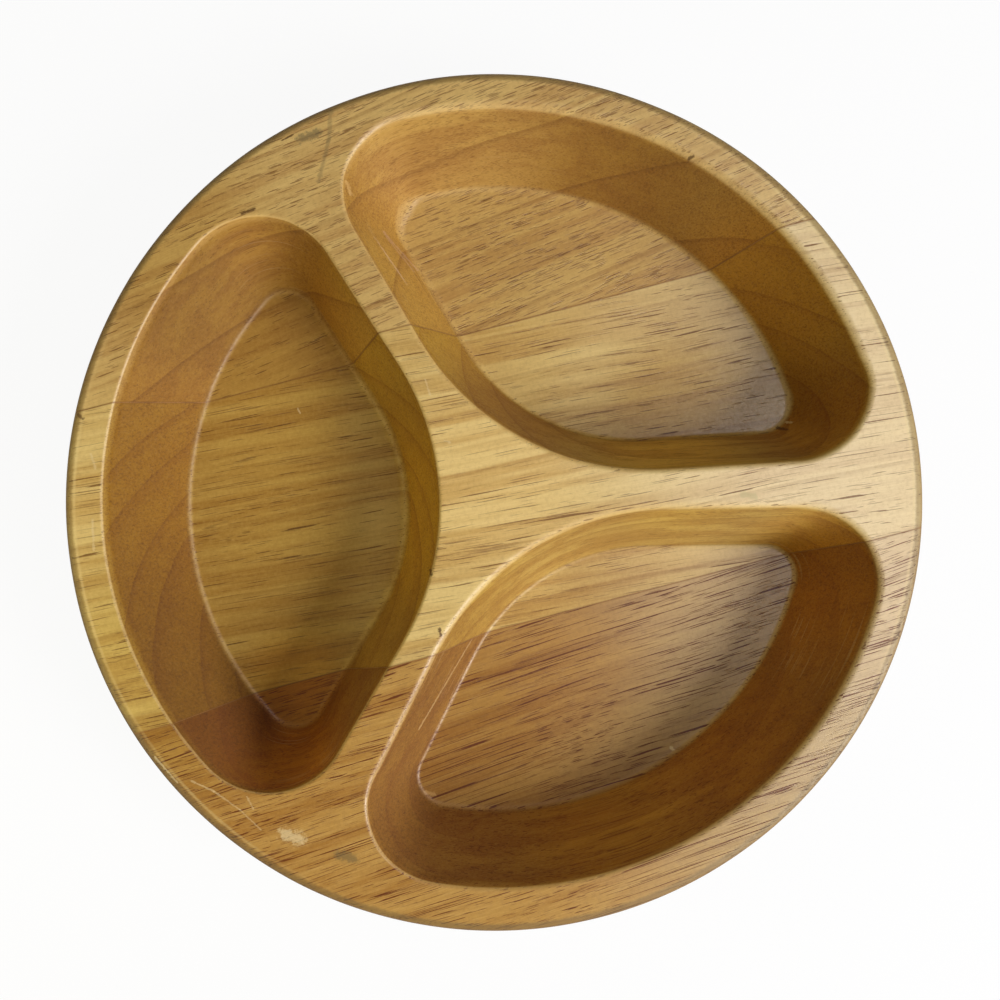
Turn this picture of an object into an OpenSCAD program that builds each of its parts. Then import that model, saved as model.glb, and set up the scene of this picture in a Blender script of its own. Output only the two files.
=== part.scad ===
// Divided serving bowl: a round wooden dish, turned from a blank of three thick boards that are
// glued edge to edge, with three rounded triangular wells routed into its flat top.
// Origin at the middle of the base, +Z up. The front edge of the bowl faces -Y.

/* [Bowl] */
// Diameter over the outer wall
bowl_d = 304.8; // [290:0.1:330]
// Height from the base to the flat rim
bowl_h = 50.8; // [46:0.1:60]
// Diameter of the flat base
base_d = 236; // [220:1:250]
// Radius of the rounded outer edge of the rim
rim_edge_r = 3; // [1.5:0.5:5]

/* [Wells] */
// Thickness of wood left under the wells
floor_t = 10.8; // [8:0.1:13]
// Radius of the outer side of each well, about the middle of the pattern
well_outer_r = 138.7; // [134:0.1:140]
// Angle from a well's axis to the end of its outer side
well_half_turn = 41.9; // [38:0.1:44]
// Radius of the two outer corners of each well
corner_r = 29; // [26:0.5:33]
// Radius of the blunt inner end of each well
nose_r = 95; // [80:1:110]
// Distance from the middle of the pattern to the inner end of each well
nose_gap = 19.2; // [17:0.1:24]
// Slope of the well walls, from upright
wall_draft = 22.5; // [18:0.5:25]
// Radius where the well walls run into their floor
floor_fillet_r = 2; // [1:0.5:6]
// Radius of the eased edge where the well walls meet the rim
lip_r = 1.4; // [0.5:0.1:2]

/* [Boards] */
// Width of the middle board, between the two glue lines
board_w = 115.3; // [100:0.1:125]
// How far the middle board sits behind the middle of the bowl
board_offset = 10.7; // [0:0.1:16]
// Turn of the grain and the glue lines from the X axis
grain_turn = 14.7; // [0:0.1:30]
// Thickness of each layer of glue
glue_t = 0.2; // [0.1:0.05:0.4]

/* [Hidden] */
$fn = 128;

// The wells were routed by hand from one template. Each row is one well: the angle of its axis
// as placed, how far along X and Y its template lay from the middle of the bowl, and how far the
// leaning cutter moved its floor along X and Y from under its rim outline.
WELLS = [
    [181.2, [-0.1, 0.9], [2.2, 0]],
    [62.1, [1.7, 4.2], [-0.5, -1]],
    [-57.8, [1.6, 1.9], [-1, 1]],
];

// How far a cutting solid runs past the face that it cuts
clear = 1;

// Steps along each arc of a well: its outer side, its corners, its nose, its fillet and its lip
outer_steps = 20;
corner_steps = 12;
nose_steps = 12;
fillet_steps = 4;
lip_steps = 2;

// A point at a distance from the origin and an angle from +X
function polar(r, a) = r * [cos(a), sin(a)];

bowl_r = bowl_d / 2;

// The flank is one arc, upright where it meets the rounded rim edge and cut flat by the base. Its
// centre is kept to a thousandth of a millimetre, so that both arcs meet without a step.
shoulder_z = bowl_h - rim_edge_r;
flare = (bowl_d - base_d) / 2;
flank_x = round(1000 * (bowl_r - (pow(shoulder_z, 2) + pow(flare, 2)) / (2 * flare))) / 1000;
flank_r = bowl_r - flank_x;

// Section of a well wall. Each point is how far it lies inside the well's rim outline, and its
// height: up from the flat floor round the fillet, then up the slope and out over the eased lip.
well_depth = bowl_h - floor_t;
bend = 90 - wall_draft;
ease = (1 - sin(wall_draft)) / cos(wall_draft);
flat_in = well_depth * tan(wall_draft) + floor_fillet_r * ease;
fillet_c = [flat_in, floor_t + floor_fillet_r];
lip_c = [-lip_r * ease, bowl_h - lip_r];
wall_section = concat(
    [for (i = [0 : fillet_steps]) fillet_c - polar(floor_fillet_r, 90 - i * bend / fillet_steps)],
    [for (i = [0 : lip_steps]) lip_c + polar(lip_r, 90 - bend + i * bend / lip_steps)],
    [[lip_c[0], bowl_h + clear]]
);

// Centres of the arcs of one well, whose axis is +X, and the direction its straight side faces
corner_c = (well_outer_r - corner_r) * [cos(well_half_turn), sin(well_half_turn)];
nose_c = [nose_gap + nose_r, 0];
span = corner_c - nose_c;
side_turn = atan2(span[1], span[0]) + acos((nose_r - corner_r) / norm(span));

// Edges of the glue lines, across the grain
back_glue_y = board_offset + board_w / 2;
front_glue_y = board_offset - board_w / 2;

// Points along an arc, from step first to step last of the whole number of steps
function arc(centre, r, from, to, steps, first, last) =
    [for (i = [first : last]) centre + polar(r, from + (to - from) * i / steps)];

// The outline of a well whose axis is +X, moved inwards, counter-clockwise from one corner's end.
// The straight sides lie between the corners and the nose, and the arcs run smoothly into them.
function outline(inwards) = concat(
    arc([0, 0], well_outer_r - inwards, -well_half_turn, well_half_turn, outer_steps, 0, outer_steps),
    arc(corner_c, corner_r - inwards, well_half_turn, side_turn, corner_steps, 1, corner_steps),
    arc(nose_c, nose_r - inwards, side_turn, 360 - side_turn, nose_steps, 0, nose_steps),
    arc([corner_c[0], -corner_c[1]], corner_r - inwards, 360 - side_turn, 360 - well_half_turn,
        corner_steps, 0, corner_steps - 1)
);

// Half of the bowl's outer section: a core, the curved flank cut flat by the base, and the flat
// rim with its rounded edge
module blank_profile() {
    square([flank_x, bowl_h]);
    intersection() {
        translate([flank_x, shoulder_z]) circle(flank_r);
        square([bowl_d, shoulder_z]);
    }
    translate([0, shoulder_z]) square([bowl_r - rim_edge_r, rim_edge_r]);
    translate([bowl_r - rim_edge_r, shoulder_z])
        intersection() {
            circle(rim_edge_r);
            square(2 * rim_edge_r);
        }
}

module blank() {
    rotate_extrude() blank_profile();
}

// Everything that the router takes out for one well: the section of its wall swept round its
// outline, closed by the flat floor below and by a flat top above the rim
module well_cut(well) {
    n = len(outline(0));
    rings = len(wall_section);
    polyhedron(
        points = [for (p = wall_section) for (q = outline(p[0])) placed(well, q, p[1])],
        faces = concat(
            [[for (i = [0 : n - 1]) i]],
            [for (k = [0 : rings - 2]) for (i = [0 : n - 1])
                [k * n + i, (k + 1) * n + i, (k + 1) * n + (i + 1) % n, k * n + (i + 1) % n]],
            [[for (i = [n - 1 : -1 : 0]) (rings - 1) * n + i]]
        )
    );
}

// Where a point of the template comes to lie in the bowl, at a height in a well
function placed(well, p, z) =
    let (lean = max(0, bowl_h - z) / well_depth)
    concat(turned(p, well[0]) + well[1] + lean * well[2], z);

function turned(p, a) = [p[0] * cos(a) - p[1] * sin(a), p[0] * sin(a) + p[1] * cos(a)];

// How far the rim of a well reaches across the grain: its front end and its back end
function reach(well) =
    let (places = [for (q = outline(lip_c[0])) across_grain(turned(q, well[0]) + well[1])])
    [min(places), max(places)];

function across_grain(p) = p * polar(1, grain_turn + 90);

// The part of the bowl between two lines along the grain, less the wells that it holds
module strip(from, to) {
    difference() {
        intersection() {
            blank();
            rotate([0, 0, grain_turn])
                translate([-bowl_d, from, -clear])
                    cube([2 * bowl_d, to - from, bowl_h + 2 * clear]);
        }
        for (well = WELLS) {
            if (reach(well)[0] < to && reach(well)[1] > from) well_cut(well);
        }
    }
}

// The back board, which holds the far ends of two wells
module back_board() {
    color([0.72, 0.54, 0.31]) strip(back_glue_y + glue_t / 2, bowl_d);
}

// The middle board, the palest, which all three wells cross
module middle_board() {
    color([0.80, 0.63, 0.37]) strip(front_glue_y + glue_t / 2, back_glue_y - glue_t / 2);
}

// The front board, the brownest
module front_board() {
    color([0.68, 0.48, 0.27]) strip(-bowl_d, front_glue_y - glue_t / 2);
}

// The layer of glue between the middle and the back board
module back_glue_line() {
    color([0.40, 0.26, 0.13]) strip(back_glue_y - glue_t / 2, back_glue_y + glue_t / 2);
}

// The layer of glue between the front and the middle board
module front_glue_line() {
    color([0.40, 0.26, 0.13]) strip(front_glue_y - glue_t / 2, front_glue_y + glue_t / 2);
}

back_board();
middle_board();
front_board();
back_glue_line();
front_glue_line();
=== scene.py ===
"""Looks of the divided serving bowl: finer boards and glue lines, wood, light and camera."""

import math
from types import SimpleNamespace

import bmesh
import bpy
import numpy as np
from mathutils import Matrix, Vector, geometry, noise

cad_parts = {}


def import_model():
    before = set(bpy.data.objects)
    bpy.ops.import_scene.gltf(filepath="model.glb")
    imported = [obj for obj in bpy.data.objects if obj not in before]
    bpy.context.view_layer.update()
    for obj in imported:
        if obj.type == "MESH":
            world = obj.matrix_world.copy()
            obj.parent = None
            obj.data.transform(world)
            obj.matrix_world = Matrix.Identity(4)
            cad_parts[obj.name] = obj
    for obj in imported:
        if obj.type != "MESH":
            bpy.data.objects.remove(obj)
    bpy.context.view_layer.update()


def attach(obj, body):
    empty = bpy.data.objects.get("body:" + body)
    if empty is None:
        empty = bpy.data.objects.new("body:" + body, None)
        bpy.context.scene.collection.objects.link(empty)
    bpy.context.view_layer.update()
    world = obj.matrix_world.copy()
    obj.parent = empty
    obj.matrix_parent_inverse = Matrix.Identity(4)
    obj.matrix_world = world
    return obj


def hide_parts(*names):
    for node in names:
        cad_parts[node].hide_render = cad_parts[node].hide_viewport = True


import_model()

MM = 0.001
MM_PER_METRE = 1000.0

# Bowl, in mm, as in the CAD part
BOWL_R = 152.4
BOWL_H = 50.8
BASE_R = 118.0
RIM_EDGE_R = 3.0
FLOOR_T = 10.8
WELL_OUTER_R = 138.7
WELL_HALF_TURN = math.radians(41.9)
CORNER_R = 29.0
NOSE_R = 95.0
NOSE_GAP = 19.2
WALL_DRAFT = math.radians(22.5)
# Each well's axis angle, how far its template lay from the middle of the bowl, and how far its
# floor lies from the middle of its rim outline
WELLS = {
    "left": (181.2, (-0.1, 0.9), (2.2, 0.0)),
    "back": (62.1, (1.7, 4.2), (-0.5, -1.0)),
    "front": (-57.8, (1.6, 1.9), (-1.0, 1.0)),
}
GRAIN_TURN = math.radians(14.7)
BACK_GLUE_Y = 68.35
FRONT_GLUE_Y = -46.95
GLUE_T = 0.2

EASE = (1 - math.sin(WALL_DRAFT)) / math.cos(WALL_DRAFT)
RIM_FLAT_R = BOWL_R - RIM_EDGE_R

# How softly the lips were sanded: direction that the outline faces, in degrees, radius, and how
# far inside the outline the lip starts
LIPS = {
    "left": (
        (0, 1.6, -1.1), (90, 1.6, -1.1), (140, 1.4, -0.94), (220, 1.4, -0.94), (300, 1.6, -1.1),
        (360, 1.6, -1.1)),
    "back": (
        (0, 3.0, -2.0), (30, 4.2, -0.6), (75, 4.2, 0), (110, 3.0, 0), (140, 2.4, -0.35),
        (170, 1.5, -0.88), (220, 1.8, -0.7), (270, 2.4, -0.35), (320, 2.4, -1.4), (360, 3.0, -2.0)),
    "front": (
        (0, 3.1, -2.7), (30, 2.8, -1.8), (80, 3.2, 0), (150, 3.4, 0), (180, 2.0, -0.6),
        (220, 1.5, -0.88), (290, 2.0, -1.3), (330, 3.0, -2.6), (360, 3.1, -2.7)),
}

# How softly the walls were sanded into the floor: direction and radius
FILLETS = {
    "left": (
        (0, 5.0), (35, 4.6), (70, 4.0), (110, 3.2), (150, 3.0), (200, 3.2), (240, 3.4), (285, 3.6),
        (320, 4.4), (360, 5.0)),
    "back": (
        (0, 4.2), (40, 3.0), (90, 3.0), (120, 4.0), (150, 7.5), (175, 6.0), (200, 4.0), (230, 3.0),
        (270, 2.2), (320, 3.0), (360, 4.2)),
    "front": (
        (0, 3.4), (50, 2.4), (110, 2.2), (160, 2.4), (200, 2.4), (250, 3.2), (290, 3.0), (330, 2.6),
        (360, 3.4)),
}

# How finely the fine mesh is stepped: the arcs of a well's outline, the points of its straight sides
# with both ends, its lip and its fillet, the places down its walls, its floor, the turn of the bowl,
# its rounded edge, its flank, its base, and the spacing in mm of the points on the flat top
OUTER_STEPS = 84
CORNER_STEPS = 36
NOSE_STEPS = 44
SIDE_STEPS = 12
LIP_STEPS = 8
FILLET_STEPS = 8
WALL_SHARES = (0.03, 0.1, 0.2, 0.3, 0.4, 0.5, 0.6, 0.7, 0.8, 0.9, 0.97)
FLOOR_STEPS = 14
BOWL_TURNS = 420
EDGE_STEPS = 10
FLANK_STEPS = 28
BASE_STEPS = 20
TOP_SPACING = 3.2
# How far apart the rows of those points are, as a share of the spacing, and how much smaller than
# the rim and larger than the wells the outlines are that the points keep to
ROW_SHARE = 0.9
INSIDE_RIM = 0.988
OUTSIDE_WELLS = 1.025
# Rounds in which the slope of a wall is found
SLOPE_ROUNDS = 8
# How far onto the flat faces the rings beside the lips, the floors' corners and the rim's edge lie
FLAT_MARGIN = 0.5

# The unevenness of hand-sanded wood: scale per mm, seed and depth in mm of each layer of noise, and
# the height that it has grown to its full depth at, from nothing at the base
UNEVEN = ((0.022, 1, 0.16), (0.06, 2, 0.05))
UNEVEN_FROM = 8
# Edges turned by more than this are drawn sharp
SHARP_EDGE = math.radians(35)

# Where the cutter left level lines on the walls: place in mm, reach and strength
ROUTED = [
    ((-72, -98), 26, 0.9),
    ((-72, 89), 30, 0.6),
    ((-12, -63), 24, 0.9),
    ((119, -40), 36, 0.8),
    ((-33, 90), 22, 0.8),
    ((10, 112), 30, 0.4),
]

# Patches painted darker or paler: painted shade and shadow (the lower left, the right walls, the back
# well's floor), painted sheen (the back well's floor and left wall), and some tone of the wood. The
# surfaces, place in mm, reach and tint
LIGHT_AND_SHADE_PATCHES = [
    (("rim", "wall"), (-125, -62), 66, (0.80, 0.75, 0.52)),
    (("rim",), (-116, 92), 50, (0.84, 0.76, 0.58)),
    (("rim",), (100, -96), 76, (0.84, 0.82, 0.76)),
    (("rim",), (-2, 8), 48, (1.08, 1.07, 1.08)),
    (("wall",), (-126, -10), 64, (1.00, 0.98, 0.50)),
    (("wall",), (-112, 76), 38, (0.80, 0.80, 0.70)),
    (("wall",), (-44, 70), 52, (1.35, 1.48, 1.45)),
    (("wall",), (-28, -2), 48, (1.40, 1.42, 0.75)),
    (("wall",), (-72, -98), 34, (1.30, 1.20, 0.50)),
    (("wall",), (10, 36), 30, (0.88, 0.78, 0.55)),
    (("wall",), (66, 18), 36, (1.40, 1.45, 1.20)),
    (("wall",), (45, 118), 44, (0.82, 0.75, 0.50)),
    (("wall",), (104, 80), 46, (1.25, 1.12, 0.70)),
    (("wall",), (128, 28), 38, (0.90, 0.70, 0.30)),
    (("wall",), (130, -30), 46, (1.25, 1.00, 0.30)),
    (("wall",), (96, -86), 52, (0.95, 0.75, 0.30)),
    (("wall",), (46, -124), 44, (1.22, 1.24, 0.90)),
    (("floor",), (72, 36), 46, (0.80, 0.68, 0.35)),
    (("floor",), (35, 60), 40, (1.12, 1.17, 1.28)),
    (("floor",), (45, -24), 34, (0.84, 0.80, 0.78)),
    (("floor",), (30, -66), 40, (0.93, 0.86, 0.74)),
    (("floor",), (-78, -68), 28, (1.24, 1.12, 0.75)),
]

# Marks of use, and painted highlights: GLOSS marks pale chips and painted glints, and some pale streaks
# are painted sheen.
# In mm as seen from above: board, first and last point, width, strength, shade
SCUFF, DENT, STAIN, GLOSS = (226, 204, 160), (80, 44, 10), (92, 84, 62), (226, 186, 118)
MARKS = [
    ("front_wood", (-74, -117), (-68.5, -119), 3.0, 0.62, SCUFF),
    ("front_wood", (-55, -124.5), (-50, -126), 2.6, 0.55, STAIN),
    ("front_wood", (-107.2, -98.4), (-99, -102.2), 0.45, 0.42, SCUFF),
    ("front_wood", (-99, -102.2), (-90, -108.6), 0.42, 0.36, SCUFF),
    ("front_wood", (-90, -108.6), (-82.4, -115.8), 0.4, 0.34, SCUFF),
    ("front_wood", (-87.4, -104.2), (-85.2, -108.2), 0.5, 0.35, SCUFF),
    ("front_wood", (69.4, -94.7), (70.2, -95.2), 0.8, 0.8, SCUFF),
    ("front_wood", (-27, -112), (-23.5, -113), 1.0, 0.4, GLOSS),
    ("front_wood", (-120, -90), (-112, -99), 0.5, 0.5, SCUFF),
    ("front_wood", (-8.2, -50.6), (-28.3, -84.2), 0.36, 0.4, (214, 178, 122)),
    ("back_wood", (-68.5, 128.6), (-62.5, 130.5), 2.2, 0.6, STAIN),
    ("back_wood", (-75.1, 127.9), (-71, 130), 0.42, 0.85, DENT),
    ("back_wood", (-89.2, 102.1), (-84.7, 103.8), 0.6, 0.85, DENT),
    ("back_wood", (-57.8, 138.2), (-58.5, 128), 1.1, 0.3, STAIN),
    ("back_wood", (-58.5, 128), (-62, 113.5), 1.0, 0.35, STAIN),
    ("back_wood", (69.2, 122), (70.5, 122.6), 0.8, 0.8, DENT),
    ("back_wood", (-52.5, 114), (-51.6, 111), 0.8, 0.4, GLOSS),
    # Painted sheen: pale streaks of reflected light down the back well's left wall
    ("back_wood", (-42, 104), (-30, 92.6), 0.6, 0.30, (206, 170, 150)),
    ("back_wood", (-41, 102), (-31, 91), 0.5, 0.25, (206, 170, 150)),
    ("back_wood", (-44, 98.2), (-32.5, 82), 0.5, 0.24, (214, 184, 146)),
    ("back_wood", (-42.8, 96.4), (-33.8, 84), 0.36, 0.26, (222, 194, 164)),
    ("middle_wood", (-114.2, 85), (-110.6, 86.4), 0.5, 0.85, DENT),
    ("middle_wood", (-19.4, -45), (-18.8, -47), 0.8, 0.85, DENT),
    ("middle_wood", (-22.6, -24), (-22.3, -25.5), 0.7, 0.8, DENT),
    ("middle_wood", (-147, 31), (-145.5, 29.5), 0.9, 0.7, DENT),
    ("middle_wood", (-24.4, 43.5), (-22.6, 38), 0.5, 0.4, SCUFF),
    ("middle_wood", (-17.5, 21.8), (-15.5, 21.2), 0.6, 0.5, SCUFF),
    ("middle_wood", (-77.2, 38.6), (-76.2, 36.8), 0.5, 0.6, SCUFF),
    ("middle_wood", (-142.5, 17), (-141, 12), 0.6, 0.45, SCUFF),
    ("middle_wood", (-142, -6), (-141.5, -17), 0.6, 0.45, SCUFF),
    ("middle_wood", (88, 3), (92, 2), 1.6, 0.3, (150, 148, 88)),
    ("middle_wood", (111, 31), (113, 30), 1.0, 0.8, DENT),
    ("middle_wood", (114.5, 33), (115.5, 32.6), 0.7, 0.7, SCUFF),
    ("middle_wood", (113, -18.5), (117, -22), 0.8, 0.4, GLOSS),
]


# Shapes

def arc(centre, radius, start, end, steps, first):
    """Points and outward normals along an arc, from step first on."""
    turns = start + (end - start) * np.arange(first, steps + 1) / steps
    normals = np.stack([np.cos(turns), np.sin(turns)], 1)
    return np.asarray(centre) + radius * normals, normals


def outline():
    """The rim outline of a well whose axis is +X: points and outward normals."""
    corner = (WELL_OUTER_R - CORNER_R) * np.array([math.cos(WELL_HALF_TURN), math.sin(WELL_HALF_TURN)])
    nose = np.array([NOSE_GAP + NOSE_R, 0.0])
    span = corner - nose
    side = math.atan2(span[1], span[0]) + math.acos((NOSE_R - CORNER_R) / np.hypot(*span))
    flip = corner * [1, -1]
    full = 2 * math.pi
    parts = [
        arc((0, 0), WELL_OUTER_R, -WELL_HALF_TURN, WELL_HALF_TURN, OUTER_STEPS, 0),
        arc(corner, CORNER_R, WELL_HALF_TURN, side, CORNER_STEPS, 1),
        arc(nose, NOSE_R, side, full - side, NOSE_STEPS, 0),
        arc(flip, CORNER_R, full - side, full - WELL_HALF_TURN, CORNER_STEPS, 0),
    ]
    points = [p for p, _ in parts]
    normals = [n for _, n in parts]

    # The last point of the loop is its first one again
    points[3], normals[3] = points[3][:-1], normals[3][:-1]

    # The straight sides, put into the list between a corner and the nose
    shares = np.linspace(0, 1, SIDE_STEPS)[1:-1, None]
    for place, before, after in ((2, 1, 2), (4, 2, 3)):
        ends = parts[before][0][-1], parts[after][0][0]
        points.insert(place, ends[0] * (1 - shares) + ends[1] * shares)
        normals.insert(place, np.repeat(parts[after][1][:1], len(shares), 0))
    return np.concatenate(points), np.concatenate(normals)


def smooth_noise(points, scale, seed):
    """Slow, even noise of about -1 to 1 at each point."""
    shift = Vector((seed * 17.3, seed * 5.1, seed * 9.7))
    return np.array([noise.noise(Vector(p) * scale + shift) for p in points])


def placed_outline(name):
    """The rim outline of one well in its place in the bowl: points and outward normals."""
    points, normals = outline()
    turn, shift, _ = WELLS[name]
    turn = math.radians(turn)
    spin = np.array([[math.cos(turn), -math.sin(turn)], [math.sin(turn), math.cos(turn)]])
    return points @ spin.T + np.array(shift), normals @ spin.T


def well_rings(name):
    """Rings of points of one well, from just outside its lip down to its floor's edge."""
    points, normals = placed_outline(name)
    lean = WELLS[name][2]
    facing = np.degrees(np.arctan2(normals[:, 1], normals[:, 0])) % 360
    directions, radii, starts = zip(*LIPS[name])
    lip = np.interp(facing, directions, radii)
    edge = np.interp(facing, directions, starts)
    fillet = np.interp(facing, *zip(*FILLETS[name]))
    foot = (BOWL_H - FLOOR_T) * math.tan(WALL_DRAFT) + fillet * EASE - normals @ np.array(lean)

    # The slope that touches both the eased lip and the fillet
    draft = np.full(len(lip), WALL_DRAFT)
    for _ in range(SLOPE_ROUNDS):
        run = foot - edge - (lip + fillet) * np.cos(draft)
        rise = BOWL_H - FLOOR_T - (lip + fillet) * (1 - np.sin(draft))
        draft = np.arctan2(run, rise)
    rings = []

    def ring(inwards, z):
        flat = points - normals * np.reshape(inwards, (-1, 1))
        rings.append(np.column_stack([flat, np.broadcast_to(z, len(flat))]))

    ring(edge - FLAT_MARGIN, BOWL_H)
    for step in range(LIP_STEPS + 1):
        up = math.pi / 2 - (math.pi / 2 - draft) * step / LIP_STEPS
        ring(edge + lip * np.cos(up), BOWL_H - lip + lip * np.sin(up))
    top_in = edge + lip * np.cos(draft)
    top_z = BOWL_H - lip + lip * np.sin(draft)
    low_in = foot - fillet * np.cos(draft)
    low_z = FLOOR_T + fillet * (1 - np.sin(draft))
    for share in WALL_SHARES:
        ring(top_in * (1 - share) + low_in * share, top_z * (1 - share) + low_z * share)
    for step in range(FILLET_STEPS + 1):
        up = draft + (math.pi / 2 - draft) * step / FILLET_STEPS
        ring(foot - fillet * np.cos(up), FLOOR_T + fillet * (1 - np.sin(up)))
    ring(foot + FLAT_MARGIN, FLOOR_T)
    return rings


class Surface:
    """Collects points and faces of one closed surface."""

    def __init__(self):
        self.points, self.faces = [], []

    def ring(self, points):
        start = len(self.points)
        self.points.extend(map(tuple, points))
        return np.arange(start, start + len(points))

    def band(self, first, second):
        """Quads between two closed rings of as many points each."""
        n = len(first)
        for i in range(n):
            j = (i + 1) % n
            self.faces.append((first[i], first[j], second[j], second[i]))

    def disc(self, ring, z, steps):
        """Fills a ring with smaller rings towards its middle."""
        edge = np.array([self.points[i] for i in ring])
        middle = edge.mean(0)
        last = ring
        for step in range(1, steps):
            inner = self.ring(middle + (edge - middle) * (1 - step / steps))
            self.band(last, inner)
            last = inner
        centre = self.ring([(middle[0], middle[1], z)])[0]
        n = len(last)
        for i in range(n):
            self.faces.append((last[i], last[(i + 1) % n], centre))


def inside(points, loop):
    """Whether each 2-D point lies inside a closed loop."""
    x, y = points[:, 0], points[:, 1]
    found = np.zeros(len(points), bool)
    for (ax, ay), (bx, by) in zip(loop, np.roll(loop, -1, 0)):
        crosses = (ay > y) != (by > y)
        with np.errstate(divide="ignore", invalid="ignore"):
            found ^= crosses & (x < (bx - ax) * (y - ay) / (by - ay) + ax)
    return found


def outer_section():
    """Radius and height of the bowl's outside, from the flat rim round its edge down to the base."""
    section = [(RIM_FLAT_R - FLAT_MARGIN, BOWL_H)]
    shoulder, flare = BOWL_H - RIM_EDGE_R, BOWL_R - BASE_R
    for step in range(EDGE_STEPS + 1):
        a = math.pi / 2 * (1 - step / EDGE_STEPS)
        section.append((RIM_FLAT_R + RIM_EDGE_R * math.cos(a), shoulder + RIM_EDGE_R * math.sin(a)))
    flank_r = (shoulder ** 2 + flare ** 2) / (2 * flare)
    end = math.asin(shoulder / flank_r)
    for step in range(1, FLANK_STEPS + 1):
        a = end * step / FLANK_STEPS
        section.append((BOWL_R - flank_r + flank_r * math.cos(a), shoulder - flank_r * math.sin(a)))
    return section


def fill_top(bowl, rim, holes):
    """Fills the flat top between the rim and the wells with even triangles."""
    loops = [rim] + holes
    flat = [np.array([bowl.points[i][:2] for i in loop]) for loop in loops]
    axis = np.arange(-BOWL_R, BOWL_R, TOP_SPACING)
    grid = np.array([
        (x + (row % 2) * TOP_SPACING / 2, y * ROW_SHARE)
        for row, y in enumerate(axis) for x in axis
    ])

    # Points of the grid keep a little clear of the loops
    keep = inside(grid, flat[0] * INSIDE_RIM)
    for hole in flat[1:]:
        middle = hole.mean(0)
        keep &= ~inside(grid, middle + (hole - middle) * OUTSIDE_WELLS)
    grid = grid[keep]
    ids, edges, places = [], [], []
    for loop, ring in zip(flat, loops):
        start = len(places)
        places.extend(map(tuple, loop))
        ids.extend(ring)
        edges.extend((start + i, start + (i + 1) % len(ring)) for i in range(len(ring)))
    ids.extend(bowl.ring(np.column_stack([grid, np.full(len(grid), BOWL_H)])))
    places.extend(map(tuple, grid))
    found, _, tris, origin, _, _ = geometry.delaunay_2d_cdt(
        [Vector(p) for p in places], edges, [], 0, 1e-5)
    centres = np.array([[sum(found[i][k] for i in tri) / 3 for k in (0, 1)] for tri in tris])
    land = inside(centres, flat[0])
    for hole in flat[1:]:
        land &= ~inside(centres, hole)
    for tri, good in zip(tris, land):
        if good:
            bowl.faces.append(tuple(ids[origin[i][0]] for i in tri))


def whole_bowl():
    """The bowl as one closed surface, in mm."""
    bowl = Surface()
    holes = []
    for name in WELLS:
        rings = [bowl.ring(points) for points in well_rings(name)]
        for first, second in zip(rings, rings[1:]):
            bowl.band(first, second)
        bowl.disc(rings[-1], FLOOR_T, FLOOR_STEPS)
        holes.append(rings[0])

    turns = np.arange(BOWL_TURNS) / BOWL_TURNS * 2 * math.pi
    circle = np.column_stack([np.cos(turns), np.sin(turns)])
    rings = [
        bowl.ring(np.column_stack([circle * radius, np.full(len(circle), z)]))
        for radius, z in outer_section()
    ]
    for first, second in zip(rings, rings[1:]):
        bowl.band(first, second)
    bowl.disc(rings[-1], 0.0, BASE_STEPS)
    fill_top(bowl, rings[0], holes)
    return bowl


def bowl_mesh():
    """The whole bowl as a bmesh in metres, gently uneven as hand-sanded wood is."""
    bowl = whole_bowl()
    points = np.array(bowl.points)
    bm = bmesh.new()
    verts = [bm.verts.new(p) for p in points]
    for face in bowl.faces:
        bm.faces.new([verts[i] for i in face])
    bmesh.ops.recalc_face_normals(bm, faces=bm.faces)
    bm.normal_update()
    uneven = sum(depth * smooth_noise(points, scale, seed) for scale, seed, depth in UNEVEN)
    for vert, depth in zip(bm.verts, uneven):
        fade = min(1.0, max(0.0, vert.co.z / UNEVEN_FROM))
        vert.co += vert.normal * fade * depth
        vert.co *= MM
    return bm


def cut(bm, low, high):
    """The part of the bowl between two lines along the grain, in mm across it, closed again."""
    piece = bm.copy()
    across = Vector((-math.sin(GRAIN_TURN), math.cos(GRAIN_TURN), 0))
    for place, outer in ((low, False), (high, True)):
        if place is None:
            continue
        found = bmesh.ops.bisect_plane(
            piece, geom=piece.verts[:] + piece.edges[:] + piece.faces[:], dist=1e-7,
            plane_co=across * place * MM, plane_no=across, clear_outer=outer, clear_inner=not outer)
        edges = [
            e for e in found["geom_cut"]
            if isinstance(e, bmesh.types.BMEdge) and len(e.link_faces) == 1
        ]
        bmesh.ops.triangle_fill(
            piece, use_beauty=True, use_dissolve=False, edges=edges, normal=across if outer else -across)
    bmesh.ops.recalc_face_normals(piece, faces=piece.faces)
    return piece


def add_piece(name, node, piece, material):
    """Puts one finer piece in the place of a CAD node."""
    mesh = bpy.data.meshes.new(name)
    piece.to_mesh(mesh)
    piece.free()
    mesh.shade_smooth()
    mesh.set_sharp_from_angle(angle=SHARP_EDGE)
    mesh.materials.append(material)
    thing = bpy.data.objects.new(name, mesh)
    bpy.context.scene.collection.objects.link(thing)
    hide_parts(node)
    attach(thing, "root")


# Materials

def linear(r, g, b):
    """A linear colour from the 0-255 values of a shade as seen."""
    def one(v):
        v /= 255
        return v / 12.92 if v <= 0.04045 else ((v + 0.055) / 1.055) ** 2.4
    return one(r), one(g), one(b), 1.0


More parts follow.
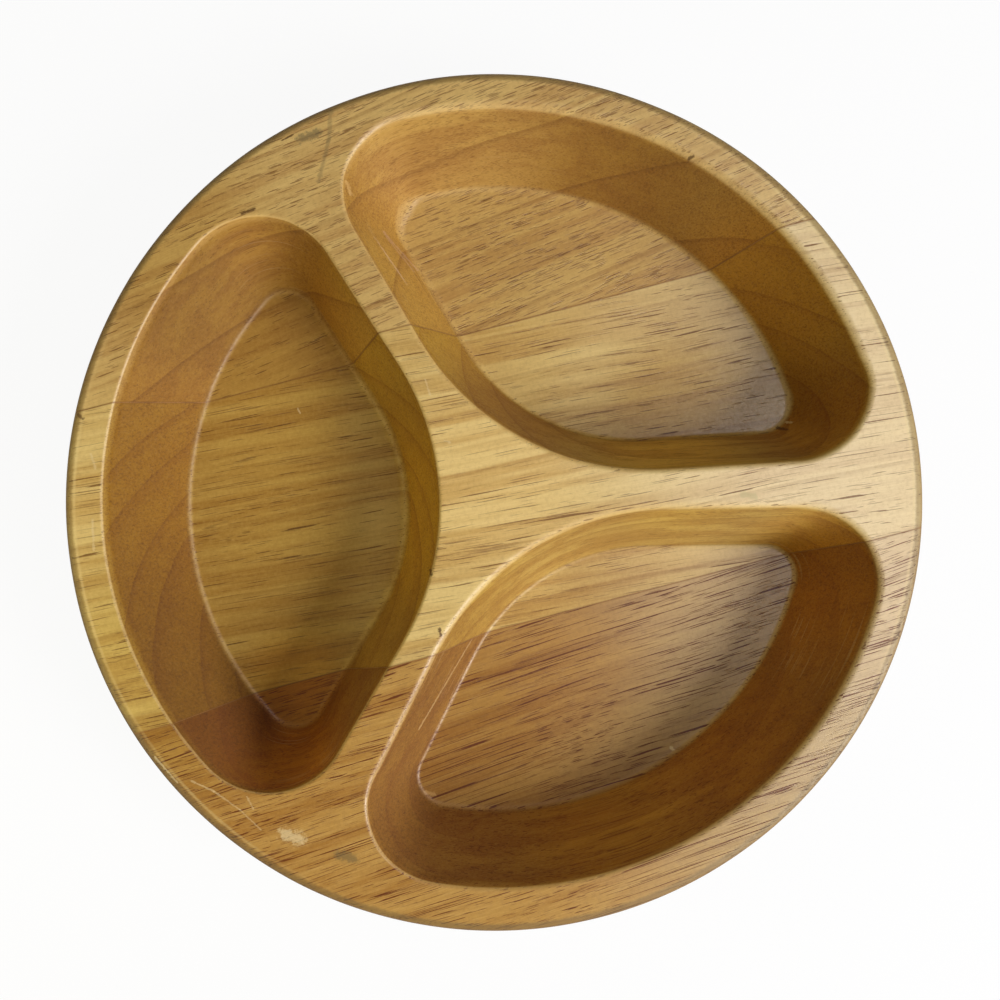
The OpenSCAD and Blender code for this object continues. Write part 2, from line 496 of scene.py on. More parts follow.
# Shades of the wood and of painted light: a painted sheen far along the fibres, between the fibres, a
# painted highlight on the lips, painted shade on the rim's edge and a painted highlight beside it, the
# wood that has soaked up glue, and the cutter's pale lines
PAINTED_SHEEN = linear(231, 210, 172)
BETWEEN_FIBRES = linear(238, 212, 150)
PAINTED_LIP_HIGHLIGHT = linear(242, 208, 138)
PAINTED_EDGE_SHADE = linear(122, 110, 72)
PAINTED_EDGE_HIGHLIGHT = linear(228, 206, 146)
GLUE_SOAKED = linear(120, 78, 34)
CUTTER_LINE = (0.9, 0.72, 0.42, 1)
# Painted shade: in both right wells, in the corners along the floors, and on the rim's edge at the side
# and the end of the fibres
RIGHT_WELLS_SHADE = (0.86, 0.82, 0.66, 1)
PAINTED_CORNER_SHADE = (0.80, 0.76, 0.70, 1)
EDGE_SIDE = (0.72, 0.66, 0.52, 1)
EDGE_END = (0.60, 0.55, 0.42, 1)

# How often each noise repeats per mm: along the fibres, across them, and up if that differs
WANDER = (0.008, 0.02)
WIDE_STREAK = (0.006, 0.15)
NARROW_STREAK = (0.02, 0.55)
FIBRE = (0.07, 2.4)
CROWD = (0.015, 0.2)
SPECKLE = (0.15, 1.4, 0.9)

# How far across and up the fibres wander in mm, and how far the rings' radius does
WANDER_ACROSS = 7.0
WANDER_UP = 6.0
RING_WANDER = 22.0
# The share of a ring's width where its line starts and where it is darkest
RING_LINE = (0.90, 0.985)

# From where to where a surface turns into end grain, by how squarely it cuts the fibres, and into a
# level one, by how squarely it faces up
END_GRAIN = (0.25, 0.9)
LEVEL = (0.42, 0.97)
# Heights in mm between which the rim, the inside of the wells and the marks begin
RIM_STARTS = (47.0, 50.2)
WELLS_START = (8.0, 10.0)
MARKS_START = (6.0, 9.0)
# The cone that holds the wells: how much it widens with the height, and its radius at the base,
# from the last of the inside to the first of the outside
CONE_SLOPE = 0.4
CONE_R = (125.5, 128.5)
# Where the painted shade of the left well gives way to that of the right ones, along X
LEFT_WELL_ENDS = (-66.0, -44.0)

# Vessels: radius of the thinnest and the thickest as a share of their cell, how sharp their edge is
# in the same share, how strong the faintest is, and how unevenly they crowd
VESSEL_R = (0.28, 0.47)
VESSEL_EDGE = (-0.02, 0.07)
FAINTEST_VESSEL = 0.45
CROWDING = 2.2
# How ragged the marks are and where they start to fade, as shares of their width
MARK_RAGGED = 2.4
MARK_CORE = 0.25
# How ragged the painted shade on the rim's edge is, in mm
EDGE_RAGGED = 0.8
# The dark wood beside a glue line: from where to where it clears, in mm, and how strong it is
JOINT_CLEARS = (0.15, 0.6)
JOINT_DARK = 0.45

# The softest floor corner, which keeps its highlight: its place, and how far from it the painted shade
# along the floors starts and is full
SOFT_CORNER = ((-30, 112, 0), 20.0, 34.0)

# The lacquer: its index of refraction, its smoothest and its roughest, and how much rougher it is in
# the vessels, on the rim's edge, in the corners along the floors and on the lips
LACQUER_IOR = 1.55
LACQUER_ROUGHNESS = (0.29, 0.44)
VESSELS_ROUGHER = 0.05
EDGE_ROUGHER = 0.2
CORNERS_ROUGHER = 0.42
LIPS_ROUGHER = 0.24

# Relief in mm: of fibres, streaks and mottling, of the vessels and of the cutter's lines
FINE_RELIEF = 0.03
VESSEL_RELIEF = 0.11
CUTTER_RELIEF = 0.12


class Nodes:
    """A short way to write the node tree of a material."""

    def __init__(self, name):
        self.material = bpy.data.materials.new(name)
        self.material.use_nodes = True
        self.tree = self.material.node_tree
        self.shader = self.tree.nodes["Principled BSDF"]
        self.place = self.add("ShaderNodeTexCoord").outputs["Object"]

    def add(self, kind, **settings):
        node = self.tree.nodes.new(kind)
        for key, value in settings.items():
            setattr(node, key, value)
        return node

    def put(self, socket, value):
        """Links a socket into another one, or sets it to a number or a colour."""
        if isinstance(value, bpy.types.NodeSocket):
            self.tree.links.new(value, socket)
        elif value is not None:
            socket.default_value = value

    def math(self, operation, a, b=None, c=None, clamp=False):
        node = self.add("ShaderNodeMath", operation=operation, use_clamp=clamp)
        for socket, value in zip(node.inputs, (a, b, c)):
            self.put(socket, value)
        return node.outputs[0]

    def times(self, first, *others):
        for other in others:
            first = self.math("MULTIPLY", first, other)
        return first

    def plus(self, a, b):
        return self.math("ADD", a, b)

    def minus(self, a, b):
        return self.math("SUBTRACT", a, b)

    def greatest(self, first, *others):
        for other in others:
            first = self.math("MAXIMUM", first, other)
        return first

    def vector(self, operation, a, b=None, scale=None):
        node = self.add("ShaderNodeVectorMath", operation=operation)
        self.put(node.inputs[0], a)
        if b is not None:
            self.put(node.inputs[1], b)
        if scale is not None:
            self.put(node.inputs["Scale"], scale)
        number = operation in ("LENGTH", "DOT_PRODUCT", "DISTANCE")
        return node.outputs["Value" if number else "Vector"]

    def span(self, value, low, high, to_low=0.0, to_high=1.0, smooth=True):
        """Maps low..high to to_low..to_high and holds the ends."""
        node = self.add("ShaderNodeMapRange", interpolation_type="SMOOTHSTEP" if smooth else "LINEAR")
        for socket, number in zip(node.inputs, (value, low, high, to_low, to_high)):
            self.put(socket, number)
        return node.outputs[0]

    def between(self, share, at_none, at_full):
        """Goes evenly from one number to another as a share goes from 0 to 1."""
        return self.span(share, 0.0, 1.0, at_none, at_full, smooth=False)

    def near(self, where, centre, close, far, share=1.0):
        """The share close to a place, which fades to nothing far from it."""
        return self.span(self.vector("DISTANCE", where, centre), close, far, share, 0.0)

    def noise(self, where, scale, detail, roughness=0.5):
        node = self.add("ShaderNodeTexNoise")
        self.put(node.inputs["Vector"], where)
        for key, number in (("Scale", scale), ("Detail", detail), ("Roughness", roughness)):
            self.put(node.inputs[key], number)
        return node.outputs["Fac"]

    def mix(self, share, a, b, how="MIX"):
        node = self.add("ShaderNodeMix", data_type="RGBA", blend_type=how)
        self.put(node.inputs["Factor"], share)
        self.put(node.inputs["A"], a)
        self.put(node.inputs["B"], b)
        return next(s for s in node.outputs if s.type == "RGBA")

    def split(self, vector):
        node = self.add("ShaderNodeSeparateXYZ")
        self.put(node.inputs[0], vector)
        return node.outputs

    def join(self, x, y, z):
        node = self.add("ShaderNodeCombineXYZ")
        for socket, value in zip(node.inputs, (x, y, z)):
            self.put(socket, value)
        return node.outputs[0]

    def complete(self, colour, roughness, height, strength):
        """Puts colour, roughness and relief in mm into the shader, the relief at a strength."""
        bump = self.add("ShaderNodeBump")
        self.put(bump.inputs["Strength"], strength)
        self.put(bump.inputs["Distance"], MM)
        self.put(bump.inputs["Height"], height)
        self.put(self.shader.inputs["Base Color"], colour)
        self.put(self.shader.inputs["Roughness"], roughness)
        self.put(self.shader.inputs["Normal"], bump.outputs[0])
        return self.material


class Wood(Nodes):
    """Lacquered pale hardwood, solid in all directions, in mm. Its steps build up one colour."""

    def __init__(self, name, look):
        super().__init__(name)
        self.name = name
        self.look = look
        self.grain = math.radians(look.grain)
        self.dip = math.radians(look.dip)
        self.mm = self.vector("SCALE", self.place, scale=MM_PER_METRE)
        self.x, self.y, self.z = self.split(self.mm)
        self.plan = self.vector("MULTIPLY", self.mm, (1, 1, 0))
        self.colour = None

    def blend(self, share, shade, how="MIX"):
        """Changes the colour by a share of a shade."""
        self.colour = self.mix(share, self.colour, shade, how)

    def stretched(self, along, across, up=None):
        """The place among the fibres, each direction multiplied by its own number."""
        return self.join(
            self.times(self.along, along),
            self.times(self.across, across),
            self.times(self.up, across if up is None else up))

    def find_fibres(self):
        """The place along, across and up from the fibres, which wander a little."""
        turned = self.add("ShaderNodeMapping", vector_type="POINT")
        self.put(turned.inputs["Vector"], self.mm)
        self.put(turned.inputs["Rotation"], (0.0, self.dip, -self.grain))
        self.put(turned.inputs["Location"], (self.look.seed * 31.0, 0.0, 0.0))
        self.along, self.across, self.up = self.split(turned.outputs[0])
        slow = self.stretched(*WANDER)
        elsewhere = self.vector("ADD", slow, (7.0, 3.0, 1.0))
        sideways = self.minus(self.noise(slow, 1.0, 1.0), 0.5)
        upwards = self.minus(self.noise(elsewhere, 1.0, 1.0), 0.5)
        self.across = self.math("MULTIPLY_ADD", sideways, WANDER_ACROSS, self.across)
        self.up = self.math("MULTIPLY_ADD", upwards, WANDER_UP, self.up)

    def find_surfaces(self):
        """Shares of end grain, of steep and level surface, and of rim, well wall and well floor."""
        way = Vector((math.cos(self.grain), math.sin(self.grain), -math.sin(self.dip)))
        normal = self.add("ShaderNodeNewGeometry").outputs["Normal"]
        facing = self.math("ABSOLUTE", self.vector("DOT_PRODUCT", normal, way))
        self.end_grain = self.span(facing, *END_GRAIN)
        facing_up = self.math("ABSOLUTE", self.split(normal)[2])
        self.steep = self.span(facing_up, *LEVEL, 1.0, 0.0)
        self.level = self.minus(1.0, self.steep)
        self.below = self.span(self.z, *RIM_STARTS, 1.0, 0.0)

        # The wells lie inside a cone that the flank and the base stay outside of
        cone = self.math("MULTIPLY_ADD", self.z, -CONE_SLOPE, self.vector("LENGTH", self.plan))
        in_well = self.times(self.span(cone, *CONE_R, 1.0, 0.0), self.span(self.z, *WELLS_START))
        self.inner = self.times(self.below, in_well)
        self.surfaces = {
            "rim": self.minus(1.0, self.below),
            "wall": self.times(self.inner, self.steep),
            "floor": self.times(self.inner, self.level),
        }

    def growth_rings(self):
        """How dark each ring gets towards its end, and the thin line where it ends."""
        pith_across, pith_up, width = self.look.pith
        sideways = self.minus(self.across, pith_across)
        upwards = self.minus(self.up, pith_up)
        radius = self.plus(self.times(sideways, sideways), self.times(upwards, upwards))
        radius = self.math("SQRT", radius)
        uneven = self.noise(self.join(0.0, self.look.seed, self.times(radius, 0.05)), 1.0, 1.0)
        phase = self.math("DIVIDE", self.math("MULTIPLY_ADD", uneven, RING_WANDER, radius), width)
        phase = self.math("FRACT", phase)
        line = self.times(self.span(phase, *RING_LINE), self.span(phase, RING_LINE[1], 1.0, 1.0, 0.0))
        return self.math("POWER", phase, 5.0), line

    def add_streaks(self):
        """Streaks along the fibres, wide and narrow, calmer on the end grain, the rings, and a painted
        sheen far along the fibres.
        """
        look = self.look
        self.wide = self.noise(self.stretched(*WIDE_STREAK), 1.0, 3.0, 0.6)
        self.narrow = self.noise(self.stretched(*NARROW_STREAK), 1.0, 3.0, 0.6)
        self.fibre = self.noise(self.stretched(*FIBRE), 1.0, 3.0, 0.65)
        self.cloud = self.noise(self.mm, 0.02, 2.0)
        ring_dark, ring_line = self.growth_rings()
        calm = self.between(self.end_grain, 1.0, 0.25)

        tone = self.plus(self.span(self.wide, 0.40, 0.62), self.times(self.minus(self.narrow, 0.5), 0.8))
        tone = self.math("MULTIPLY_ADD", self.minus(tone, 0.5), calm, 0.5)
        tone = self.plus(tone, self.times(ring_dark, self.between(self.steep, 0.3, 0.75)))
        tone = self.math("ADD", tone, self.times(self.minus(self.cloud, 0.5), 0.4), clamp=True)
        self.colour = self.mix(self.math("MULTIPLY", tone, look.streak, clamp=True), look.pale, look.tan)
        # Painted sheen: the level faces turn paler and whiter far along the fibres, on the right-hand
        # side
        sheen_share = self.times(self.span(self.along, *look.fade), self.between(self.steep, 1.0, 0.2))
        self.blend(sheen_share, PAINTED_SHEEN)
        dark =self.times(self.span(self.narrow, 0.54, 0.68), self.span(self.wide, 0.42, 0.62), calm)
        self.blend(self.times(dark, 0.38 * look.streak), look.brown)
        self.blend(self.times(ring_line, look.rings), look.brown)
        self.blend(self.span(self.fibre, 0.35, 0.75, 0.0, 0.16, smooth=False), look.brown)
        self.blend(self.span(self.fibre, 0.25, 0.5, 0.14, 0.0, smooth=False), BETWEEN_FIBRES)

    def vessel(self, number, length, thick, share, depth):
        """Cells stretched along the fibres, some of which hold an open vessel."""
        cell = self.join(
            self.math("DIVIDE", self.along, length),
            self.math("DIVIDE", self.across, thick),
            self.math("DIVIDE", self.up, thick))
        cell = self.vector("ADD", cell, (self.look.seed * 3.1, number * 11.0, 0.0))
        voronoi = self.add("ShaderNodeTexVoronoi", voronoi_dimensions="3D", feature="F1")
        self.put(voronoi.inputs["Vector"], cell)
        self.put(voronoi.inputs["Scale"], 1.0)
        thickness, rank, strength = self.split(voronoi.outputs["Color"])
        crowd = self.noise(self.stretched(*CROWD), 1.0, 2.0, 0.6)
        crowd = self.math("MULTIPLY_ADD", self.minus(crowd, 0.5), CROWDING, share)
        crowd = self.plus(crowd, self.span(self.along, *self.look.sparse))
        size = self.times(self.between(thickness, *VESSEL_R), self.math("GREATER_THAN", crowd, rank))
        hole = self.span(self.minus(size, voronoi.outputs["Distance"]), *VESSEL_EDGE)
        return self.times(hole, self.between(strength, FAINTEST_VESSEL, 1.0), depth)

    def thread(self, fine, slender, rare, depth):
        """Long thin dark lines, more of them in the dark streaks."""
        thread = self.noise(self.stretched(slender, fine), 1.0, 1.0, 0.4)
        rarity = self.math("MULTIPLY_ADD", self.minus(self.wide, 0.5), -0.17, rare)
        return self.span(self.minus(thread, rarity), 0.0, 0.04, 0.0, depth)

    def add_vessels(self):
        """Vessels: thin dashes along the fibres, dots where the fibres end."""
        vessels = [self.vessel(number, *kind) for number, kind in enumerate(self.look.pores)]
        threads = [self.thread(*kind) for kind in self.look.lines]
        groove = self.greatest(*vessels, *threads)
        groove = self.times(groove, self.between(self.end_grain, 1.0, 0.45))
        self.groove = self.times(groove, self.between(self.steep, 1.0, 0.6))
        self.blend(self.groove, self.look.dark)

    def add_well_shade(self):
        """Painted shade: below the rim, in the wells and on the flank, the wood is darker and browner,
        more so on steep faces and most on end grain, which also soaks up more lacquer; then patches of
        painted light and shade.
        """
        look = self.look
        well_shade = self.mix(self.span(self.x, *LEFT_WELL_ENDS), (*look.deep, 1), RIGHT_WELLS_SHADE)
        wall_shade = self.mix(self.end_grain, (*look.wall_side, 1), (*look.wall_end, 1))
        # Painted shade below the rim, and more on steep faces
        self.blend(self.below, well_shade, "MULTIPLY")
        self.blend(self.steep, wall_shade, "MULTIPLY")
        # Patches of painted light and shade, with some tone of the wood
        for kinds, place, reach, tint in LIGHT_AND_SHADE_PATCHES:
            near = self.near(self.plan, (*place, 0), reach * 0.25, reach)
            kind = self.greatest(*(self.surfaces[name] for name in kinds))
            self.blend(self.times(near, kind), (*tint, 1), "MULTIPLY")

    def add_corners(self):
        """The lips are painted paler as a painted highlight, and the corners along the floors darker
        with painted shade, but for the softest.
        """
        rounded = self.times(self.steep, self.level)
        # Painted highlight on the lips
        lip_highlight = self.times(rounded, self.span(self.z, 46.5, 49.5, 0.0, 1.2))
        off_centre = self.vector("LENGTH", self.plan)
        lip_highlight = self.times(lip_highlight, self.span(off_centre, BOWL_R - 8, BOWL_R - 5, 1.0, 0.0))
        self.blend(lip_highlight, PAINTED_LIP_HIGHLIGHT)

        # Painted shade in the corners along the floors
        corner_shade = self.times(self.surfaces["wall"], self.level, self.span(self.z, 14.0, 16.0, 4.0, 0.0))
        place, close, far = SOFT_CORNER
        corner_shade = self.times(corner_shade, self.span(self.vector("DISTANCE", self.plan, place), close, far))
        self.blend(corner_shade, PAINTED_CORNER_SHADE, "MULTIPLY")

    def add_mottling(self):
        """Fine mottling all over, then the cutter's lines, then fine dots on the end grain."""
        look = self.look
        self.mottle = self.noise(self.mm, 0.8, 3.0, 0.7)
        calm = self.between(self.steep, 1.0, 0.5)
        darker = self.times(self.span(self.mottle, 0.5, 0.75, 0.0, 0.17, smooth=False), calm)
        lighter = self.times(self.span(self.mottle, 0.25, 0.5, 0.11, 0.0, smooth=False), calm)
        self.blend(darker, look.brown, "MULTIPLY")
        self.blend(lighter, look.pale, "SCREEN")
        self.add_cutter_lines()
        speckle = self.span(self.noise(self.stretched(*SPECKLE), 1.0, 3.0, 0.8), 0.46, 0.66)
        self.blend(self.times(speckle, self.end_grain, 0.46), look.brown, "MULTIPLY")

    def add_cutter_lines(self):
        """The cutter's faint level lines round parts of the walls."""
        level = self.join(self.times(self.x, 0.012), self.times(self.y, 0.012), self.times(self.z, 0.9))
        self.routed = self.noise(level, 1.0, 2.0, 0.6)
        places = [
            self.near(self.plan, (*place, 0), reach * 0.5, reach, share)
            for place, reach, share in ROUTED
        ]
        broken = self.span(self.noise(self.mm, 0.06, 1.0), 0.42, 0.58)
        self.cut_walls = self.times(self.greatest(*places), self.surfaces["wall"], broken)
        pale = self.times(self.span(self.routed, 0.58, 0.68), self.cut_walls, 0.20)
        dark = self.times(self.span(self.routed, 0.28, 0.42, 1.0, 0.0), self.cut_walls, 0.28)
        self.blend(pale, CUTTER_LINE, "SCREEN")
        self.blend(dark, self.look.brown, "MULTIPLY")

    def add_rim_edge(self):
        """The rim's rounded edge is darkened with painted shade, with a painted highlight, a soft pale
        line, beside it on the end grain.
        """
        # Painted shade on the rim's rounded edge
        out = self.math("MULTIPLY_ADD", self.mottle, EDGE_RAGGED, self.vector("LENGTH", self.plan))
        edge = self.span(out, RIM_FLAT_R - 0.4, RIM_FLAT_R + 0.9)
        self.edge = self.times(edge, self.span(self.z, 20.0, 48.0, 0.35, 1.0))
        tinted = self.mix(1.0, self.colour, self.mix(self.end_grain, EDGE_SIDE, EDGE_END), "MULTIPLY")
        self.blend(self.edge, self.mix(0.35, tinted, PAINTED_EDGE_SHADE))

        # Painted highlight: a soft pale line beside the rim's edge, where it cuts the fibres
        flat_way = (math.cos(self.grain), math.sin(self.grain), 0)
        fibre_end = self.vector("DOT_PRODUCT", self.vector("NORMALIZE", self.plan), flat_way)
        off_border = self.math("ABSOLUTE", self.minus(out, RIM_FLAT_R - 0.5))
        border = self.times(
            self.span(off_border, 0.1, 0.8, 0.40, 0.0),
            self.span(self.math("ABSOLUTE", fibre_end), 0.6, 0.95),
            self.span(self.z, 30.0, 48.0),
            self.span(self.cloud, 0.35, 0.6, 0.4, 1.0))
        self.blend(border, PAINTED_EDGE_HIGHLIGHT)

    def add_marks(self):
        """The scuffs, stains, dents, painted glints and painted sheen streaks of this board, each round
        a short line seen from above.
        """
        upper = self.span(self.z, *MARKS_START)
        for board, (x0, y0), (x1, y1), width, share, shade in MARKS:
            if board != self.name:
                continue
            way = Vector((x1 - x0, y1 - y0, 0))
            from_start = self.vector("SUBTRACT", self.plan, (x0, y0, 0))
            passed = self.vector("DOT_PRODUCT", from_start, way)
            along = self.math("DIVIDE", passed, way.length_squared, clamp=True)
            away = self.vector("DISTANCE", from_start, self.vector("SCALE", way, scale=along))
            away = self.math("MULTIPLY_ADD", self.minus(self.mottle, 0.5), width * MARK_RAGGED, away)
            mask = self.span(away, width * MARK_CORE, width, share, 0.0)
            self.blend(self.times(mask, upper), linear(*shade))

    def add_joints(self):
        """The glue joint soaks the wood beside it and shows as a darker line."""
        across = self.minus(
            self.times(self.y, math.cos(GRAIN_TURN)), self.times(self.x, math.sin(GRAIN_TURN)))
        for place in (BACK_GLUE_Y, FRONT_GLUE_Y):
            away = self.math("ABSOLUTE", self.minus(across, place))
            self.blend(self.span(away, *JOINT_CLEARS, JOINT_DARK, 0.0), GLUE_SOAKED)

    def roughness(self):
        """Rougher in the vessels, on the rim's edge, in the floors' corners and on the lips."""
        rough = self.span(self.mottle, 0.3, 0.7, *LACQUER_ROUGHNESS, smooth=False)
        rough = self.plus(rough, self.times(self.groove, VESSELS_ROUGHER))
        rough = self.math("MULTIPLY_ADD", self.edge, EDGE_ROUGHER, rough)
        corner = self.span(self.z, FLOOR_T + 0.1, FLOOR_T + 1.0, 0.0, CORNERS_ROUGHER)
        rough = self.math("MULTIPLY_ADD", corner, self.inner, rough)
        lips = self.times(self.steep, self.span(self.z, 45.0, 49.0))
        return self.math("MULTIPLY_ADD", lips, LIPS_ROUGHER, rough)

    def relief(self):
        """Fine relief of fibres, vessels, streaks, mottling and the cutter's lines, in mm."""
        side_grain = self.minus(1.0, self.end_grain)
        height = self.times(self.fibre, side_grain, FINE_RELIEF)
        height = self.minus(height, self.times(self.groove, VESSEL_RELIEF))
        height = self.plus(height, self.times(self.narrow, FINE_RELIEF))
        height = self.plus(height, self.times(self.mottle, FINE_RELIEF))
        return self.plus(height, self.times(self.routed, self.cut_walls, CUTTER_RELIEF))


def wood(name, **look):
    """The wood of one board. Lengths in mm, angles in degrees.

    grain: turn of the fibres; dip: how far they dive; seed: moves the whole pattern along
    pith: place of the rings' axis across and up from the fibres, and the width of a ring
    pale, tan, brown, dark: shades of the wood, its streaks, its dark streaks and its vessels
    streak: strength of the streaks; rings: strength of the line where each ring ends
    fade: where the painted sheen grows along the fibres: from, to, share before, share after
    lines: scale across the fibres, scale along them, threshold and depth of each kind of long line
    pores: length, thickness, share and depth of each kind of vessel
    sparse: where the share of vessels changes along the fibres: from, to, change before, after
    deep: painted shade of the left well; wall_side, wall_end: painted shade of walls along the fibres
    and across them, the end grain also darker as it soaks up more lacquer
    """
    n = Wood(name, SimpleNamespace(**look))
    n.find_fibres()
    n.find_surfaces()
    n.add_streaks()
    n.add_vessels()
    n.add_well_shade()
    n.add_corners()
    n.add_mottling()
    n.add_rim_edge()
    n.add_marks()
    n.add_joints()
    n.put(n.shader.inputs["IOR"], LACQUER_IOR)
    return n.complete(n.colour, n.roughness(), n.relief(), 0.5)


def glue():
    """Aged brown glue in the joints."""
    n = Nodes("glue_brown")
    mm = n.vector("SCALE", n.place, scale=MM_PER_METRE)
    grains = n.noise(mm, 1.3, 3.0, 0.6)
    patches = n.noise(mm, 0.08, 2.0)
    colour = n.mix(n.span(patches, 0.35, 0.65), linear(122, 80, 38), linear(158, 112, 58))
    colour = n.mix(n.span(grains, 0.45, 0.75, 0.0, 0.6), colour, linear(88, 52, 22))
    return n.complete(colour, n.span(grains, 0.3, 0.7, 0.38, 0.6), n.times(grains, 0.08), 0.4)


back_wood = wood(
    "back_wood", grain=22.0, dip=2.0, pith=(-53.0, -55.0, 30.0), seed=1.0,
    pale=linear(214, 179, 112), tan=linear(190, 148, 86), brown=linear(138, 94, 42),
    dark=linear(112, 68, 16), streak=0.8, fade=(90.0, 200.0, 0.0, 0.2), rings=0.35,
    lines=[(1.5, 0.10, 0.69, 0.55)], pores=[(9.5, 0.55, 0.66, 0.85), (6.0, 0.42, 0.40, 0.55)],
    sparse=(-40.0, 40.0, -0.4, 0.0), deep=(0.70, 0.59, 0.31),
    wall_side=(0.92, 0.84, 0.63), wall_end=(0.80, 0.68, 0.34))
middle_wood = wood(
    "middle_wood", grain=10.5, dip=1.0, pith=(-100.0, -90.0, 16.0), seed=2.0,
    pale=linear(227, 197, 128), tan=linear(202, 163, 92), brown=linear(146, 100, 46),
    dark=linear(112, 66, 6), streak=0.9, fade=(80.0, 175.0, 0.0, 0.55), rings=0.2,
    lines=[(1.5, 0.034, 0.675, 0.85), (2.3, 0.05, 0.68, 0.6)], pores=[(24.0, 0.45, 0.14, 0.7)],
    sparse=(0.0, 1.0, 0.0, 0.0), deep=(0.70, 0.59, 0.31),
    wall_side=(0.86, 0.78, 0.52), wall_end=(0.66, 0.53, 0.17))
front_wood = wood(
    "front_wood", grain=18.0, dip=1.5, pith=(-150.0, -120.0, 20.0), seed=3.0,
    pale=linear(190, 146, 76), tan=linear(170, 121, 54), brown=linear(124, 77, 24),
    dark=linear(106, 46, 0), streak=1.0, fade=(60.0, 200.0, 0.0, 0.62), rings=0.0,
    lines=[(1.7, 0.012, 0.642, 1.0), (2.5, 0.016, 0.65, 0.95)], pores=[(40.0, 0.36, 0.14, 0.8)],
    sparse=(0.0, 1.0, 0.0, 0.0), deep=(0.88, 0.70, 0.34),
    wall_side=(0.86, 0.77, 0.50), wall_end=(0.66, 0.55, 0.22))
glue_brown = glue()

# The glue lines take up half their thickness on either side of their middle
half = GLUE_T / 2
back_from, back_to = BACK_GLUE_Y - half, BACK_GLUE_Y + half
front_from, front_to = FRONT_GLUE_Y - half, FRONT_GLUE_Y + half
bowl = bowl_mesh()
add_piece("back_board_fine", "back_board", cut(bowl, back_to, None), back_wood)
add_piece("middle_board_fine", "middle_board", cut(bowl, front_to, back_from), middle_wood)
add_piece("front_board_fine", "front_board", cut(bowl, None, front_from), front_wood)
add_piece("back_glue_fine", "back_glue_line", cut(bowl, back_from, back_to), glue_brown)
add_piece("front_glue_fine", "front_glue_line", cut(bowl, front_from, front_to), glue_brown)
bowl.free()


# Floor, light and camera

# Half the side of the floor, in metres, and how much of it is plain white to the eye
FLOOR_REACH = 3.0
FLOOR_WHITE = 0.93

# The air, a faint warm light from all sides
AIR = (1.0, 0.90, 0.46, 1)
AIR_STRENGTH = 0.10

# The photo's camera: sensor and lens in mm, shift of the picture, and place in metres
SENSOR = 36
LENS = 36.66
SHIFT_X = 0.0047
SHIFT_Y = 0.0474
CAMERA_AT = (0.000416, -0.01594, 0.4108)

# Soft boxes: name, azimuth and elevation in degrees, distance, width and height in metres, power in
# watts, colour, and whether they light the surfaces or only shine in the lacquer
LIGHTS = [
    ("key", -27, 36.5, 1.3, 0.50, 0.55, 13.4, (1.0, 1.0, 1.04), True),
    ("window", -32, 40, 1.3, 1.20, 0.40, 5.0, (1.0, 1.0, 1.04), True),
    ("fill", 205, 30, 0.4, 0.20, 0.20, 0.32, (1.0, 0.92, 0.48), True),
    ("back_fill", 130, 40, 0.8, 0.40, 0.40, 0.32, (1.0, 0.93, 0.52), True),
    ("sheen", 12, 67, 1.0, 0.40, 0.32, 0.75, (1.0, 1.0, 1.12), True),
    ("gloss", 12, 67, 1.0, 0.40, 0.32, 1.0, (1.0, 1.0, 1.1), False),
]


def floor():
    """The white ground, which the bowl darkens a little."""
    n = Nodes("studio_floor")
    soft = n.noise(n.place, 3.0, 2.0)
    n.put(n.shader.inputs["Base Color"], n.mix(soft, (0.80, 0.80, 0.80, 1), (0.82, 0.82, 0.82, 1)))
    n.put(n.shader.inputs["Roughness"], 0.9)
    n.put(n.shader.inputs["Specular IOR Level"], 0.0)
    paths = n.add("ShaderNodeLightPath").outputs
    seen = n.greatest(paths["Is Camera Ray"], paths["Is Glossy Ray"], paths["Is Transmission Ray"])
    white = n.add("ShaderNodeEmission")
    n.put(white.inputs["Strength"], 1.0)
    blend = n.add("ShaderNodeMixShader")
    n.put(blend.inputs[0], n.times(seen, FLOOR_WHITE))
    n.put(blend.inputs[1], n.shader.outputs[0])
    n.put(blend.inputs[2], white.outputs[0])
    n.put(n.tree.nodes["Material Output"].inputs["Surface"], blend.outputs[0])
    mesh = bpy.data.meshes.new("studio_floor")
    corners = [(x * FLOOR_REACH, y * FLOOR_REACH, 0) for x, y in ((-1, -1), (1, -1), (1, 1), (-1, 1))]
    mesh.from_pydata(corners, [], [(0, 1, 2, 3)])
    mesh.materials.append(n.material)
    thing = bpy.data.objects.new("studio_floor", mesh)
    bpy.context.scene.collection.objects.link(thing)


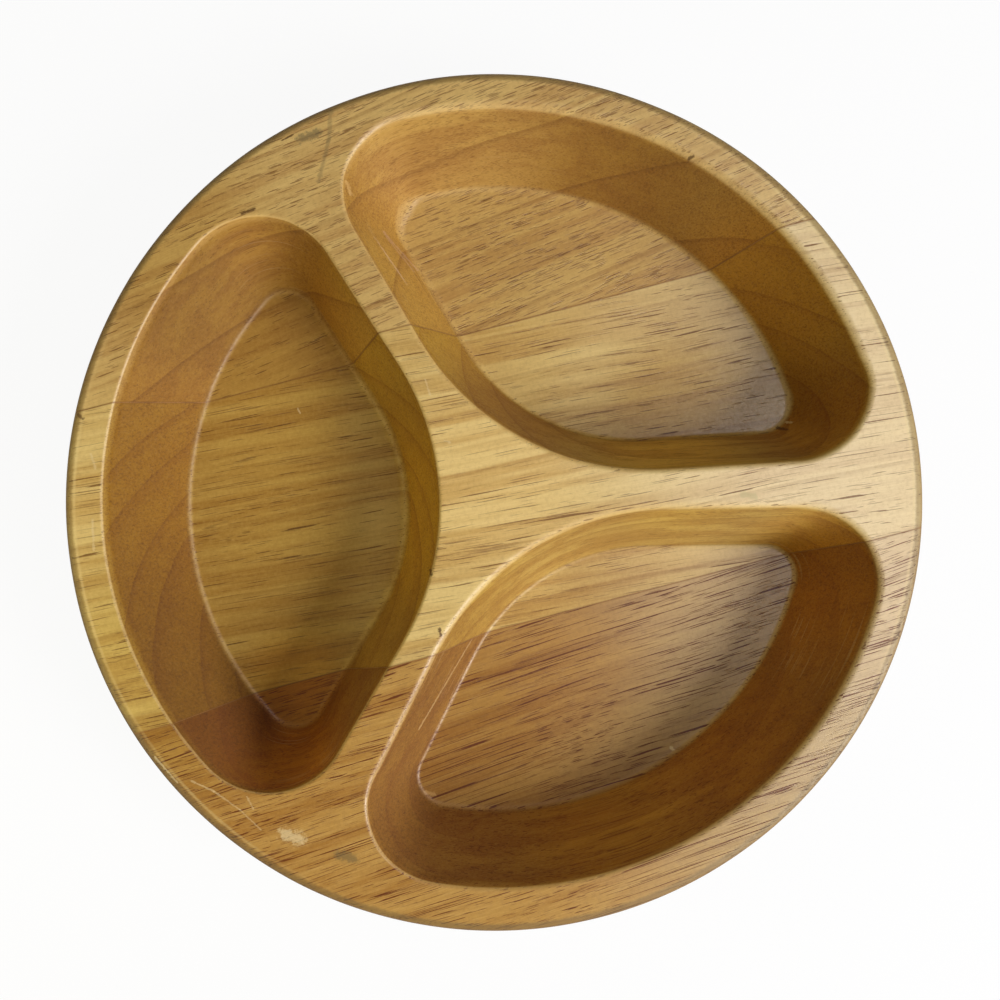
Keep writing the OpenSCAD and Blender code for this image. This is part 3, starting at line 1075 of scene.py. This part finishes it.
def area_light(name, azimuth, elevation, distance, width, height, power, colour, diffuse):
    """A soft box that faces the bowl from a direction given in degrees."""
    light = bpy.data.lights.new(name, "AREA")
    light.shape = "RECTANGLE"
    light.size = width
    light.size_y = height
    light.energy = power
    light.color = colour
    thing = bpy.data.objects.new(name, light)
    a, e = math.radians(azimuth), math.radians(elevation)
    back = Vector((math.cos(a) * math.cos(e), math.sin(a) * math.cos(e), math.sin(e)))
    thing.location = back * distance
    thing.rotation_euler = (-back).to_track_quat("-Z", "Y").to_euler()
    thing.visible_diffuse = diffuse
    bpy.context.scene.collection.objects.link(thing)


def world():
    """Even, faint, warm air that the camera sees as white."""
    sky = bpy.data.worlds.new("studio_air")
    sky.use_nodes = True
    nodes, links = sky.node_tree.nodes, sky.node_tree.links
    air = nodes["Background"]
    air.inputs["Color"].default_value = AIR
    air.inputs["Strength"].default_value = AIR_STRENGTH
    white = nodes.new("ShaderNodeBackground")
    white.inputs["Color"].default_value = (1, 1, 1, 1)
    white.inputs["Strength"].default_value = 1.0
    paths = nodes.new("ShaderNodeLightPath")
    seen = nodes.new("ShaderNodeMath")
    seen.operation = "MAXIMUM"
    blend = nodes.new("ShaderNodeMixShader")
    links.new(paths.outputs["Is Camera Ray"], seen.inputs[0])
    links.new(paths.outputs["Is Transmission Ray"], seen.inputs[1])
    links.new(seen.outputs[0], blend.inputs[0])
    links.new(air.outputs[0], blend.inputs[1])
    links.new(white.outputs[0], blend.inputs[2])
    links.new(blend.outputs[0], nodes["World Output"].inputs["Surface"])
    bpy.context.scene.world = sky


def camera():
    """The photo's point of view, straight down from above the bowl."""
    lens = bpy.data.cameras.new("photo_view")
    lens.sensor_width = SENSOR
    lens.lens = LENS
    lens.shift_x = SHIFT_X
    lens.shift_y = SHIFT_Y
    thing = bpy.data.objects.new("photo_view", lens)
    thing.location = CAMERA_AT
    bpy.context.scene.collection.objects.link(thing)
    bpy.context.scene.camera = thing


floor()
world()
for light in LIGHTS:
    area_light(*light)
camera()
bpy.context.scene.view_settings.view_transform = "Standard"
